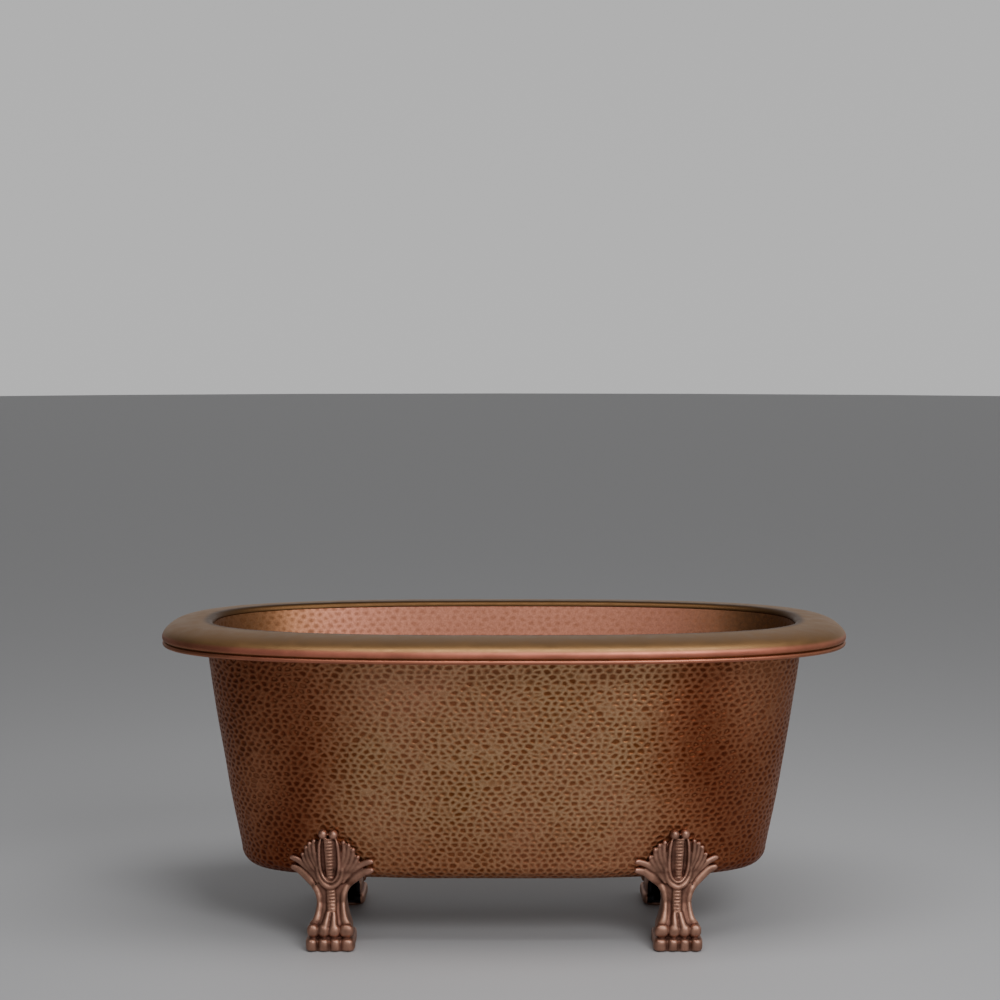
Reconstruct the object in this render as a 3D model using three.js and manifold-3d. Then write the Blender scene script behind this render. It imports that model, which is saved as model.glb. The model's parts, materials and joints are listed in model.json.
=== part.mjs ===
// Double-walled, double-ended clawfoot bathtub in hammered copper.
// Millimetres, +Z up. Origin: on the floor, under the centre of the tub.
// +X runs along the length; the front long side faces -Y.

import * as THREE from 'three';
import { mergeVertices } from 'three/addons/utils/BufferGeometryUtils.js';
import Module from 'manifold-3d';

const wasm = await Module();
wasm.setup();

// ---------------------------------------------------------------- driving sizes
const LENGTH = 1524;
const WIDTH = 760;
const RIM_TOP = 698;          // highest point of the rolled rim
const UNDERSIDE = 147;        // flat bottom of the outer skin
const FLOOR_TOP = 190;        // bathing floor beside the corner, before it falls to the drain
const SHEET = 2;              // copper sheet thickness
const GAP = 0.3;              // clearance between touching pieces

const RIM_WIDTH = 98;         // outer nose to the crest of the rim
const RIM_ROLL_R = 12;        // roll from the crest into the basin
const RIM_DOME = 2.4;         // exponent of the superellipse from the crest out to the nose
const RIM_PLAN_N = 2.85;      // exponent of the rim's outer plan
const RIM_PLAN_FALL = 0.2;    // how much that exponent falls from the nose to the basin
const NOSE_Z = 666;           // height of the widest point of the rim
const NOSE_R = 6;             // round under the nose
const FLANGE_Z = 654.5;       // underside flange that closes the rim on the outer skin
const FLANGE_LAP = 6;         // how far the flange reaches in over the outer skin
const BEAD_R = 4.5;           // round wire under the rim's edge
const BEAD_INSET = 5.5;
const BEAD_Z = FLANGE_Z - 1.4;
const BEAD_SIDES = 6;

const PLAN_STEPS = 48;        // facets round the tub

// superellipse half-lengths, half-widths, heights and exponents of the two walls
const BODY_TOP = { a: 667, b: 289, z: FLANGE_Z - GAP, n: 2.8 };
const BODY_LOW = { a: 592, b: 226, z: UNDERSIDE + 40, n: 2.8 };
const BODY_CORNER_R = 40;
const BODY_BULGE = 4;
const WALL_TOP = {
  a: LENGTH / 2 - RIM_WIDTH - RIM_ROLL_R,
  b: WIDTH / 2 - RIM_WIDTH - RIM_ROLL_R,
  z: RIM_TOP - RIM_ROLL_R - GAP,
  n: 2.65,
};
const WALL_LOW = { a: 535, b: 175, z: FLOOR_TOP + 70, n: 2.6 };
const WALL_CORNER_R = 70;

const FOOT_X = 376;           // foot centres along the tub
const FOOT_TOE_Y = 257;       // front of the toes from the centre line
const FOOT_BACK_Y = 128;      // back of the foot pad
const FOOT_HALF = 52.5;       // half the pad's width
const FOOT_LEAN = 0.026;      // outward lean of a foot along the tub, for each unit of height
const LUG_HALF = 36;          // mounting lug: half width, length and thickness
const LUG_LONG = 84;
const LUG_THICK = 12.5;
const PLATE_THICK = 7.4;      // plate between the lug and the tub
const BOLT_HOLE_R = 5.3;
const BOLT_DX = 21;           // foot bolts from the foot's middle
const BOLT_Y = 120;
const BOLT_R = 4.8;
const BOLT_HEAD = 17;         // across the flats
const CREST_PROUD = 24;       // how far the leaf crest stands off the tub

const DRAIN_Z = 186.5;        // bathing floor at the drain hole
const DRAIN_HOLE_R = 25;
const PAN_HOLE_R = 30;
const PIPE_Z = 167;           // centre of the pipe that runs under the basin
const PIPE_R = 11;
const OVERFLOW_Z = 520;       // centre of the overflow on the rear inner wall
const OVERFLOW_HOLE_R = 33;

// ---------------------------------------------------------------- materials
const finish = (color, roughness, metalness) => new THREE.MeshStandardMaterial({ color, roughness, metalness });
const copperHammered = finish(0x8a5a3a, 0.4, 1);
const copperSmooth = finish(0x7a5236, 0.35, 1);
const footBronze = finish(0x6e4632, 0.45, 1);
const bracketIron = finish(0x26262a, 0.6, 1);
const boltSteel = finish(0x8c8c90, 0.35, 1);
const fittingBrass = finish(0x8f6b3c, 0.35, 1);
const fittingCopper = finish(0x7e523a, 0.3, 1);
const sealRubber = finish(0x1c1c1c, 0.9, 0);
const cableJacket = finish(0x202124, 0.7, 0);

// ---------------------------------------------------------------- closed shapes
const part = new THREE.Group();

function add(name, geometry, material, parent = part) {
  const mesh = new THREE.Mesh(geometry, material);
  mesh.name = name;
  parent.add(mesh);
  return mesh;
}

// Turns a closed geometry so that its faces point out.
function outward(geometry) {
  const p = geometry.attributes.position;
  const index = geometry.index.array;
  const [a, b, c] = [new THREE.Vector3(), new THREE.Vector3(), new THREE.Vector3()];
  let volume = 0;
  for (let i = 0; i < index.length; i += 3) {
    a.fromBufferAttribute(p, index[i]);
    b.fromBufferAttribute(p, index[i + 1]);
    c.fromBufferAttribute(p, index[i + 2]);
    volume += a.dot(b.cross(c));
  }
  if (volume < 0) {
    for (let i = 0; i < index.length; i += 3) [index[i], index[i + 1]] = [index[i + 1], index[i]];
  }
  return geometry;
}

function indexed(points, triangles) {
  const geometry = new THREE.BufferGeometry();
  geometry.setAttribute('position', new THREE.Float32BufferAttribute(points.flat(), 3));
  geometry.setIndex(triangles);
  return outward(geometry);
}

// A thin sheet between two grids of the same size: face(u, v) and back(u, v) give points.
// closed joins the last column to the first; the free edges are stitched shut.
function sheet(columns, rows, closed, face, back) {
  const points = [];
  const triangles = [];
  const across = closed ? columns : columns + 1;
  for (const side of [face, back]) {
    for (let i = 0; i < across; i++) for (let j = 0; j <= rows; j++) points.push(side(i, j));
  }
  const id = (side, i, j) => (side * across + (i % across)) * (rows + 1) + j;
  const quad = (a, b, c, d) => triangles.push(a, b, c, a, c, d);
  for (let i = 0; i < columns; i++) {
    for (let j = 0; j < rows; j++) {
      quad(id(0, i, j), id(0, i + 1, j), id(0, i + 1, j + 1), id(0, i, j + 1));
      quad(id(1, i, j), id(1, i, j + 1), id(1, i + 1, j + 1), id(1, i + 1, j));
    }
    quad(id(0, i, 0), id(1, i, 0), id(1, i + 1, 0), id(0, i + 1, 0));
    quad(id(0, i, rows), id(0, i + 1, rows), id(1, i + 1, rows), id(1, i, rows));
  }
  if (!closed) {
    for (let j = 0; j < rows; j++) {
      quad(id(0, 0, j), id(0, 0, j + 1), id(1, 0, j + 1), id(1, 0, j));
      quad(id(0, columns, j), id(1, columns, j), id(1, columns, j + 1), id(0, columns, j + 1));
    }
  }
  return indexed(points, triangles);
}

// A solid through a stack of closed rings, with a flat fan over the first and the last.
function loft(rings) {
  const count = rings[0].length;
  const points = rings.flat();
  const triangles = [];
  for (let k = 0; k + 1 < rings.length; k++) {
    for (let i = 0; i < count; i++) {
      const [a, b] = [k * count + i, k * count + (i + 1) % count];
      triangles.push(a, b, b + count, a, b + count, a + count);
    }
  }
  const last = (rings.length - 1) * count;
  for (let i = 1; i + 1 < count; i++) {
    triangles.push(0, i + 1, i);
    triangles.push(last, last + i, last + i + 1);
  }
  return indexed(points, triangles);
}

function toSolid(geometry) {
  const bare = geometry.clone();
  bare.deleteAttribute('normal');
  bare.deleteAttribute('uv');
  const merged = mergeVertices(bare, 1e-4);
  return new wasm.Manifold(new wasm.Mesh({
    numProp: 3,
    vertProperties: new Float32Array(merged.attributes.position.array),
    triVerts: new Uint32Array(merged.index.array),
  }));
}

function fromSolid(solid) {
  const mesh = solid.getMesh();
  const geometry = new THREE.BufferGeometry();
  geometry.setAttribute('position', new THREE.BufferAttribute(new Float32Array(mesh.vertProperties), 3));
  geometry.setIndex(new THREE.BufferAttribute(new Uint32Array(mesh.triVerts), 1));
  geometry.computeVertexNormals();
  return geometry;
}

function cut(geometry, ...tools) {
  return fromSolid(tools.reduce((solid, tool) => solid.subtract(toSolid(tool)), toSolid(geometry)));
}

function join(...pieces) {
  return fromSolid(pieces.slice(1).reduce((solid, piece) => solid.add(toSolid(piece)), toSolid(pieces[0])));
}

function overlap(a, b) {
  return fromSolid(toSolid(a).intersect(toSolid(b)));
}

// A turned piece about +Z from [radius, height] points that close on themselves or on the axis.
function turned(profile, steps = 16) {
  const loop = profile.map(([r, z]) => new THREE.Vector2(r, z));
  if (profile[0][0] > 0) loop.push(loop[0].clone());
  return outward(new THREE.LatheGeometry(loop, steps).rotateX(Math.PI / 2));
}

const ring = (inner, outer, low, high, steps) =>
  turned([[inner, low], [outer, low], [outer, high], [inner, high]], steps);
const rod = (radius, low, high, steps = 16) =>
  turned([[0, low], [radius, low], [radius, high], [0, high]], steps);
const block = (dx, dy, dz, x, y, z) => new THREE.BoxGeometry(dx, dy, dz).translate(x, y, z);

function hexRing(inner, acrossFlats, low, high) {
  const corner = acrossFlats / Math.sqrt(3);
  const shape = new THREE.Shape();
  for (let k = 0; k < 6; k++) {
    const angle = (k * Math.PI) / 3;
    shape[k ? 'lineTo' : 'moveTo'](corner * Math.cos(angle), corner * Math.sin(angle));
  }
  if (inner > 0) shape.holes.push(new THREE.Path().absarc(0, 0, inner, 0, Math.PI * 2, true));
  return new THREE.ExtrudeGeometry(shape, { depth: high - low, bevelEnabled: false, curveSegments: 10 })
    .translate(0, 0, low);
}

// ---------------------------------------------------------------- tub plan and sections
// Point at angle t on the superellipse of one station.
function plan({ a, b, z, n }, t) {
  const [c, s] = [Math.cos(t), Math.sin(t)];
  return [
    a * Math.sign(c) * Math.abs(c) ** (2 / n),
    b * Math.sign(s) * Math.abs(s) ** (2 / n),
    z,
  ];
}

const mix = (p, q, k) => ({
  a: p.a + (q.a - p.a) * k,
  b: p.b + (q.b - p.b) * k,
  z: p.z + (q.z - p.z) * k,
  n: p.n + (q.n - p.n) * k,
});

// Quarter round that starts on a wall and ends flat below it.
function corner({ a, b, z, n }, radius, steps) {
  return Array.from({ length: steps }, (_, k) => {
    const angle = ((k + 1) / steps) * (Math.PI / 2);
    const inset = radius * (1 - Math.cos(angle));
    return { a: a - inset, b: b - inset, z: z - radius * Math.sin(angle), n };
  });
}

// The same section moved sideways by distance, along its own normal.
function offset(section, distance) {
  return section.map((station, k) => {
    const [p, q] = [section[Math.max(k - 1, 0)], section[Math.min(k + 1, section.length - 1)]];
    const [dx, dz] = [(q.a + q.b - p.a - p.b) / 2, q.z - p.z];
    const long = Math.hypot(dx, dz);
    const shift = (distance * dz) / long;
    return { ...station, a: station.a + shift, b: station.b + shift, z: station.z - (distance * dx) / long };
  });
}

function planSheet(section, thickness, closed = true, half = 0) {
  const inner = offset(section, thickness);
  const steps = closed ? PLAN_STEPS : PLAN_STEPS / 2;
  const point = (stations) => (i, j) => {
    const t = closed ? (i / steps) * Math.PI * 2 : half + (i / steps) * Math.PI;
    const [x, y, z] = plan(stations[j], t);
    if (closed) return [x, y, z];
    const seam = GAP / 2;
    return [x, half > 0 ? Math.min(y, -seam) : Math.max(y, seam), z];
  };
  return sheet(steps, section.length - 1, closed, point(section), point(inner));
}

// ---------------------------------------------------------------- shell of the tub
function bodySide(steps) {
  return Array.from({ length: steps + 1 }, (_, k) => {
    const station = mix(BODY_TOP, BODY_LOW, k / steps);
    const bulge = BODY_BULGE * Math.sin((k / steps) * Math.PI);
    return { ...station, a: station.a + bulge, b: station.b + bulge };
  });
}

const bodySection = () => [...bodySide(4), ...corner(BODY_LOW, BODY_CORNER_R, 3)];

function buildOuterSkin() {
  const section = bodySection();
  add('outer_wall_front', planSheet(section, SHEET, false, Math.PI), copperHammered);
  add('outer_wall_rear', planSheet(section, SHEET, false, 0), copperHammered);

  const edge = { ...section[section.length - 1] };
  const flat = { ...edge, a: edge.a - 4 * GAP, b: edge.b - 4 * GAP };
  const round = { a: PAN_HOLE_R, b: PAN_HOLE_R, z: UNDERSIDE, n: 2 };
  const middle = { a: edge.a * 0.45, b: edge.b * 0.6, z: UNDERSIDE, n: 2.4 };
  add('base_pan', planSheet([flat, middle, round], SHEET), copperHammered);
}

function buildBasin() {
  const wall = [0, 0.5, 1].map((k) => mix(WALL_TOP, WALL_LOW, k));
  const bottom = corner(WALL_LOW, WALL_CORNER_R, 4);
  const floor = [
    { a: 250, b: 62, z: FLOOR_TOP - 1.5, n: 2.3 },
    { a: 48, b: 42, z: DRAIN_Z, n: 2 },
    { a: DRAIN_HOLE_R, b: DRAIN_HOLE_R, z: DRAIN_Z, n: 2 },
  ];
  const shell = planSheet([...wall, ...bottom, ...floor], -SHEET);
  const hole = rod(OVERFLOW_HOLE_R, -20, 20, 24);
  hole.applyMatrix4(overflowPlace());
  add('basin', cut(shell, hole), copperHammered);
}

// Angles in degrees as radians.
const radians = (...degrees) => degrees.map((angle) => THREE.MathUtils.degToRad(angle));

// Station of the rim's plan at an inset from its nose.
const rimStation = (inset, z) => ({
  a: LENGTH / 2 - inset,
  b: WIDTH / 2 - inset,
  z,
  n: RIM_PLAN_N - (RIM_PLAN_FALL * inset) / (RIM_WIDTH + RIM_ROLL_R),
});

// Rim section: roll out of the basin, superelliptic dome down to the nose, and back underneath.
function rimSection() {
  const roll = radians(0, 45, 90).map((angle) => rimStation(
    RIM_WIDTH + RIM_ROLL_R * Math.cos(angle),
    RIM_TOP + RIM_ROLL_R * (Math.sin(angle) - 1),
  ));
  roll[0].z += GAP;
  const dome = radians(30, 50, 68, 80, 90).map((angle) => rimStation(
    RIM_WIDTH * (1 - Math.sin(angle) ** (2 / RIM_DOME)),
    NOSE_Z + (RIM_TOP - NOSE_Z) * Math.max(Math.cos(angle), 0) ** (2 / RIM_DOME),
  ));
  const under = radians(36, 72).map((angle) => rimStation(
    NOSE_R * (1 - Math.cos(angle)),
    NOSE_Z - NOSE_R * Math.sin(angle),
  ));
  const flange = [14, LENGTH / 2 - BODY_TOP.a - FLANGE_LAP].map((inset) => rimStation(inset, FLANGE_Z));
  return [...roll, ...dome, ...under, ...flange];
}

function buildRim() {
  add('rim_roll', planSheet(rimSection(), SHEET * 0.8), copperSmooth);

  const circle = Array.from({ length: BEAD_SIDES }, (_, k) => {
    const angle = (k / BEAD_SIDES) * Math.PI * 2;
    const inset = BEAD_INSET - BEAD_R * Math.cos(angle);
    return { ...rimStation(inset, BEAD_Z + BEAD_R * Math.sin(angle)), n: RIM_PLAN_N };
  });
  const points = [];
  const triangles = [];
  for (let i = 0; i < PLAN_STEPS; i++) {
    for (const station of circle) points.push(plan(station, (i / PLAN_STEPS) * Math.PI * 2));
  }
  const id = (i, j) => (i % PLAN_STEPS) * BEAD_SIDES + (j % BEAD_SIDES);
  for (let i = 0; i < PLAN_STEPS; i++) {
    for (let j = 0; j < BEAD_SIDES; j++) {
      triangles.push(id(i, j), id(i + 1, j), id(i + 1, j + 1), id(i, j), id(i + 1, j + 1), id(i, j + 1));
    }
  }
  add('rim_bead', indexed(points, triangles), copperSmooth);
}

// Solid of the outer skin grown by a distance, used to shape the feet against it.
function grownBody(distance) {
  const section = offset(bodySection(), -distance);
  const stations = [{ ...section[0], z: section[0].z + 5 }, ...section];
  return loft(stations.map((station) =>
    Array.from({ length: PLAN_STEPS }, (_, i) => plan(station, (i / PLAN_STEPS) * Math.PI * 2))));
}

// ---------------------------------------------------------------- claw feet
// Leg sections by height: half width, toe side and back distances from the tub's centre line.
const LEG = [
  [0, FOOT_HALF - 2.5, FOOT_TOE_Y - 3, FOOT_BACK_Y + 2],
  [4, FOOT_HALF, FOOT_TOE_Y, FOOT_BACK_Y],
  [24, FOOT_HALF, FOOT_TOE_Y, FOOT_BACK_Y],
  [30, 47, 250, 130],
  [36, 50, 252, 132],
  [50, 50, 250, 136],
  [64, 42, 240, 142],
  [82, 36, 230, 150],
  [102, 33, 224, 152],
  [122, 37, 222, 152],
  [145, 50, 222, 152],
  [172, 58, 214, 160],
];
const POCKET = [
  [12, 40, 242],
  [26, 41, 240],
  [50, 39, 238],
  [64, 32, 228],
  [82, 26, 217],
  [102, 23, 211],
  [120, 24, 208],
];

function legRing(z, half, toe, back, exponent = 3.2, steps = 16) {
  const centre = -(toe + back) / 2;
  const station = { a: half, b: (toe - back) / 2, z, n: exponent };
  return Array.from({ length: steps }, (_, i) => {
    const [x, y, height] = plan(station, (i / steps) * Math.PI * 2);
    return [x, y + centre, height];
  });
}

// Leaf crest that lies on the tub's side: half outline from the middle of the top to the leg.
const CREST = [
  [25, 243], [30, 246], [35, 237], [43, 239], [49, 227], [57, 229], [60, 214], [67, 213],
  [67, 199], [88, 203], [79, 187], [84, 181], [66, 159], [50, 140], [40, 124],
];
const BALL = { x: 12, z: 256, r: 11 };

function crestOutline() {
  const shape = new THREE.Shape();
  shape.moveTo(0, CREST[CREST.length - 1][1] - 4);
  for (const [x, z] of [...CREST].reverse()) shape.lineTo(x, z);
  shape.absarc(BALL.x, BALL.z, BALL.r, -0.5, Math.PI * 0.92, false);
  shape.absarc(-BALL.x, BALL.z, BALL.r, Math.PI * 0.08, Math.PI + 0.5, false);
  for (const [x, z] of CREST) shape.lineTo(-x, z);
  return shape;
}

function buildFootGeometry() {
  const lean = new THREE.Matrix4().makeShear(0, 0, 0, 0, FOOT_LEAN, 0);
  const leg = loft(LEG.map(([z, half, toe, back]) => legRing(z, half, toe, back))).applyMatrix4(lean);
  const crest = new THREE.ExtrudeGeometry(crestOutline(), { depth: 110, bevelEnabled: false, curveSegments: 5 })
    .rotateX(Math.PI / 2)
    .translate(0, -150, 0)
    .applyMatrix4(lean);
  const lugTop = UNDERSIDE - PLATE_THICK - 2 * GAP - 0.5;
  const lug = block(2 * LUG_HALF, LUG_LONG, LUG_THICK, 0, -138, lugTop - LUG_THICK / 2);
  const pocket = loft(POCKET.map(([z, half, toe]) => legRing(z, half, toe, 90, 3, 12))).applyMatrix4(lean);
  const holes = [-BOLT_DX, BOLT_DX].map((x) => rod(BOLT_HOLE_R, 120, 145, 12).translate(x, -BOLT_Y, 0));

  const place = new THREE.Matrix4().makeTranslation(FOOT_X, 0, 0);
  const local = place.clone().invert();
  const wall = grownBody(GAP + 0.2).applyMatrix4(local);
  const front = grownBody(CREST_PROUD).applyMatrix4(local);
  const leaves = overlap(crest, front);
  return cut(join(leg, leaves, lug), wall, pocket, ...holes);
}

function buildFeet() {
  const right = buildFootGeometry();
  const plateSolid = cut(
    block(2 * LUG_HALF + 4, 56, PLATE_THICK, 0, -122, UNDERSIDE - GAP - PLATE_THICK / 2),
    ...[-BOLT_DX, BOLT_DX].map((x) => rod(BOLT_HOLE_R - 0.2, 130, 150, 12).translate(x, -BOLT_Y, 0)),
  );
  const bolt = join(hexRing(0, BOLT_HEAD, 119, 125.7), rod(BOLT_R, 125, UNDERSIDE - 1, 12));

  for (const [side, sy] of [['front', 1], ['rear', -1]]) {
    for (const [end, sx] of [['left', -1], ['right', 1]]) {
      const place = (geometry) => {
        const copy = geometry.clone().scale(sx, sy, 1).translate(sx * FOOT_X, 0, 0);
        return outward(copy);
      };
      add(`claw_foot_${side}_${end}`, place(right), footBronze);
      add(`foot_plate_${side}_${end}`, place(plateSolid), bracketIron);
      for (const [which, x] of [['inner', -BOLT_DX], ['outer', BOLT_DX]]) {
        add(`foot_bolt_${which}_${side}_${end}`, place(bolt.clone().translate(x, -BOLT_Y, 0)), boltSteel);
      }
    }
  }
}

// ---------------------------------------------------------------- waste
const CUP_R = 34;              // waste body, its gasket and the lip of the drain flange
const BARREL = { bore: 20, outer: 24 };
const BAR = { long: 41, wide: 4, high: 5, z: 170.5 };
const SOCKET = { outer: 13.2, bore: 11.2 };
const GLAND_R = 4.6;
const CABLE_Z = 163;           // run of the cable under the basin
const STEM_R = 3;
const STEM_HOLE_R = 3.3;

function buildWaste() {
  const flangeTop = DRAIN_Z + 3.5;
  const flangeFoot = 168;
  const barrel = turned([
    [BARREL.bore, flangeFoot], [BARREL.outer, flangeFoot], [BARREL.outer, DRAIN_Z + GAP],
    [CUP_R - 1, DRAIN_Z + GAP], [CUP_R, DRAIN_Z + 1.4], [CUP_R - 4, flangeTop],
    [BARREL.bore + 1, flangeTop - 0.2], [BARREL.bore, flangeTop - 2],
  ], 24);
  const bars = [
    block(BAR.long, BAR.wide, BAR.high, 0, 0, BAR.z), block(BAR.wide, BAR.long, BAR.high, 0, 0, BAR.z),
    rod(7, BAR.z - BAR.high / 2, BAR.z + BAR.high / 2),
  ];
  add('drain_flange', cut(join(barrel, ...bars), rod(3.4, 160, 180)), fittingCopper);

  add('drain_gasket', ring(BARREL.outer + 1, CUP_R, 181.6, DRAIN_Z - SHEET - GAP), sealRubber);

  const body = turned([
    [25, 181.3], [CUP_R, 181.3], [CUP_R, 150], [24, 149.5], [24, 118], [20.5, 118], [20.5, 152], [28, 155],
    [28, 171], [25, 173],
  ]);
  const inlet = rod(SOCKET.outer, 31, 60).rotateX(-Math.PI / 2).translate(0, 0, PIPE_Z);
  const inletBore = rod(SOCKET.bore, 20, 65).rotateX(-Math.PI / 2).translate(0, 0, PIPE_Z);
  const gland = rod(GLAND_R, 20, 40, 10).rotateY(Math.PI / 2).translate(0, 0, CABLE_Z);
  add('waste_body', cut(join(body, inlet), inletBore, gland), fittingBrass);

  add('waste_locknut', hexRing(24.8, 66, 137, UNDERSIDE - GAP), fittingBrass);
  add('tailpiece', ring(18, 20.2, 106, 136), fittingBrass);
  add('tailpiece_nut', turned([
    [20.5, 112], [29, 112], [29, 128], [24.3, 128], [24.3, 117.6], [20.5, 117.6],
  ]), fittingBrass);

  const bridge = join(block(6, 39.6, 4, 0, 0, 142), rod(5.5, 140, 144));
  add('cable_bracket', cut(bridge, rod(STEM_HOLE_R, 138, 146)), fittingBrass);

  add('plug_cap', turned([
    [0, flangeTop + GAP], [29, flangeTop + GAP], [30.5, flangeTop + 1.6], [28, flangeTop + 3.6],
    [18, flangeTop + 5.4], [0, flangeTop + 6.2],
  ], 24), fittingCopper);
  add('plug_seal', ring(3.4, 19.5, 184.5, flangeTop), sealRubber);
  add('plug_stem', rod(STEM_R, 140.5, flangeTop, 12), fittingBrass);
}

// ---------------------------------------------------------------- overflow
const OVERFLOW_TILT = Math.atan2(WALL_TOP.b - WALL_LOW.b, WALL_TOP.z - WALL_LOW.z);

// Local +Z points out of the rear wall into the tub; local +Y runs up the wall.
function overflowPlace() {
  const k = (WALL_TOP.z - OVERFLOW_Z) / (WALL_TOP.z - WALL_LOW.z);
  const y = mix(WALL_TOP, WALL_LOW, k).b;
  return new THREE.Matrix4()
    .makeTranslation(0, y, OVERFLOW_Z)
    .multiply(new THREE.Matrix4().makeRotationX(Math.PI / 2 - OVERFLOW_TILT));
}

const SPIGOT = { depth: -20, from: -30, to: -50 };
const VENT = { count: 8, r: 3.2, circle: 27.5 };
const FLUTE = { count: 8, r: 3.4, circle: 22.6 };

// The same cutting rod repeated round the axis.
const around = ({ count, r, circle }, start, low, high, steps) => Array.from({ length: count }, (_, k) => {
  const angle = ((k + start) / count) * Math.PI * 2;
  return rod(r, low, high, steps).translate(circle * Math.cos(angle), circle * Math.sin(angle), 0);
});

function buildOverflow() {
  const group = new THREE.Group();
  group.applyMatrix4(overflowPlace());
  part.add(group);

  const vents = around(VENT, 0.5, -2, 10, 6);
  const plate = turned([[4.4, 0.9], [39, 0.9], [41, 2], [38, 4.6], [24, 5.6], [4.4, 5.6]], 24);
  add('overflow_faceplate', cut(plate, ...vents), fittingCopper, group);

  const grip = turned([[0, 6], [19, 6], [21, 8], [21, 16], [18, 18.5], [0, 19.5]], 24);
  const flutes = around(FLUTE, 0, 8, 25, 10);
  add('overflow_knob', cut(grip, ...flutes, rod(4.1, 0, 12, 12)), fittingCopper, group);
  add('knob_spindle', rod(3.9, -22, 11.6, 12), fittingBrass, group);

  add('overflow_gasket', ring(34, 40, -5.3, -SHEET - GAP), sealRubber, group);
  const head = turned([
    [30, -5.6], [40, -5.6], [40, -8.6], [33, -8.6], [33, -34], [0, -34], [0, -31.5], [30, -31.5],
  ], 24);
  const spigot = rod(SOCKET.outer, -SPIGOT.from, -SPIGOT.to).rotateX(Math.PI / 2).translate(0, 0, SPIGOT.depth);
  const bore = rod(SOCKET.bore, 20, 60).rotateX(Math.PI / 2).translate(0, 0, SPIGOT.depth);
  const cableHole = rod(3.1, 20, 45, 10).rotateX(Math.PI / 2).translate(22, 0, SPIGOT.depth);
  add('overflow_head', cut(join(head, spigot), bore, cableHole), fittingBrass, group);

  const nut = ring(13.6, 16.6, -9, 9, 16);
  const upper = nut.clone().rotateX(Math.PI / 2).translate(0, SPIGOT.to, SPIGOT.depth);
  add('upper_slip_nut', upper, fittingBrass, group);
  add('lower_slip_nut', nut.clone().rotateX(Math.PI / 2).translate(0, 60, PIPE_Z), fittingBrass);
}

const inWall = (x, y, z) => new THREE.Vector3(x, y, z).applyMatrix4(overflowPlace());

function buildOverflowPipe() {
  const start = inWall(0, SPIGOT.to - GAP - 0.5, SPIGOT.depth);
  const bend = { top: new THREE.Vector3(0, 206, 232), knee: new THREE.Vector3(0, 202, PIPE_Z) };
  const path = new THREE.CurvePath();
  path.add(new THREE.LineCurve3(start, bend.top));
  path.add(new THREE.QuadraticBezierCurve3(bend.top, bend.knee, new THREE.Vector3(0, 150, PIPE_Z)));
  path.add(new THREE.LineCurve3(new THREE.Vector3(0, 150, PIPE_Z), new THREE.Vector3(0, 60.6, PIPE_Z)));
  const section = new THREE.Shape().absarc(0, 0, PIPE_R, 0, Math.PI * 2, false);
  section.holes.push(new THREE.Path().absarc(0, 0, PIPE_R - 1.5, 0, Math.PI * 2, true));
  const options = { steps: 15, extrudePath: path, curveSegments: 5, bevelEnabled: false };
  add('overflow_pipe', new THREE.ExtrudeGeometry(section, options), fittingBrass);
}

const CABLE_R = 2.4;

// Control cable from the overflow knob down between the walls and up under the plug.
function buildCable() {
  const start = inWall(22, -34, SPIGOT.depth);
  const path = new THREE.CatmullRomCurve3([
    start,
    inWall(24, -80, SPIGOT.depth - 4),
    new THREE.Vector3(30, 216, 330),
    new THREE.Vector3(36, 206, 235),
    new THREE.Vector3(44, 186, 180),
    new THREE.Vector3(58, 140, CABLE_Z),
    new THREE.Vector3(66, 60, CABLE_Z),
    new THREE.Vector3(60, 14, CABLE_Z),
    new THREE.Vector3(44, 0, CABLE_Z),
    new THREE.Vector3(32, 0, CABLE_Z),
    new THREE.Vector3(24, 0, 161),
    new THREE.Vector3(16, 0, 154),
    new THREE.Vector3(13, 0, 140),
    new THREE.Vector3(7, 0, 126.5),
    new THREE.Vector3(1, 0, 129),
    new THREE.Vector3(0, 0, 139),
  ]);
  const section = new THREE.Shape().absarc(0, 0, CABLE_R, 0, Math.PI * 2, false);
  const options = { steps: 46, extrudePath: path, curveSegments: 3, bevelEnabled: false };
  add('plug_cable', new THREE.ExtrudeGeometry(section, options), cableJacket);
}

buildBasin();
buildRim();
buildOuterSkin();
buildFeet();
buildWaste();
buildOverflow();
buildOverflowPipe();
buildCable();

export default part;
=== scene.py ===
import json
import math

import bpy
import numpy as np
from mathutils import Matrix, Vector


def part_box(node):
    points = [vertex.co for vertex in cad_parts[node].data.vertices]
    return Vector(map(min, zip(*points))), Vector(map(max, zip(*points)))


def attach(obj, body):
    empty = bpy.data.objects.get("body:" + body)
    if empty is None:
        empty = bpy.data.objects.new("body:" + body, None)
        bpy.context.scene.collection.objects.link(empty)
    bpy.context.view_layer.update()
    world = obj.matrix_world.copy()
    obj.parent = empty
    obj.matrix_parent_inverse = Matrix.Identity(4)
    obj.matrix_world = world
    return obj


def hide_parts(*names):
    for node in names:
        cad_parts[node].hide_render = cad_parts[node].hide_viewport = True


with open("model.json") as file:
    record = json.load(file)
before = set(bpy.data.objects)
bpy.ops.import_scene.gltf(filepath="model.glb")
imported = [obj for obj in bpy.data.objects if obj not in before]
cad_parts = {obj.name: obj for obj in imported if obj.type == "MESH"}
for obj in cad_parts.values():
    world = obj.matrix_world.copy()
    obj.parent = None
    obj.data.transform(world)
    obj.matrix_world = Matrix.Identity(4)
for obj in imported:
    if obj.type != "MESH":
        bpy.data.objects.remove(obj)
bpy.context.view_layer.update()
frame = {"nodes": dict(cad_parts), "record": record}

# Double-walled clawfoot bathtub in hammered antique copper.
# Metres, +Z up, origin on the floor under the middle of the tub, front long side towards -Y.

# ------------------------------------------------------------------ places read from the frame
RIM_LOW, RIM_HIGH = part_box("rim_roll")
WALL_FRONT_LOW, WALL_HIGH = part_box("outer_wall_front")
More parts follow.
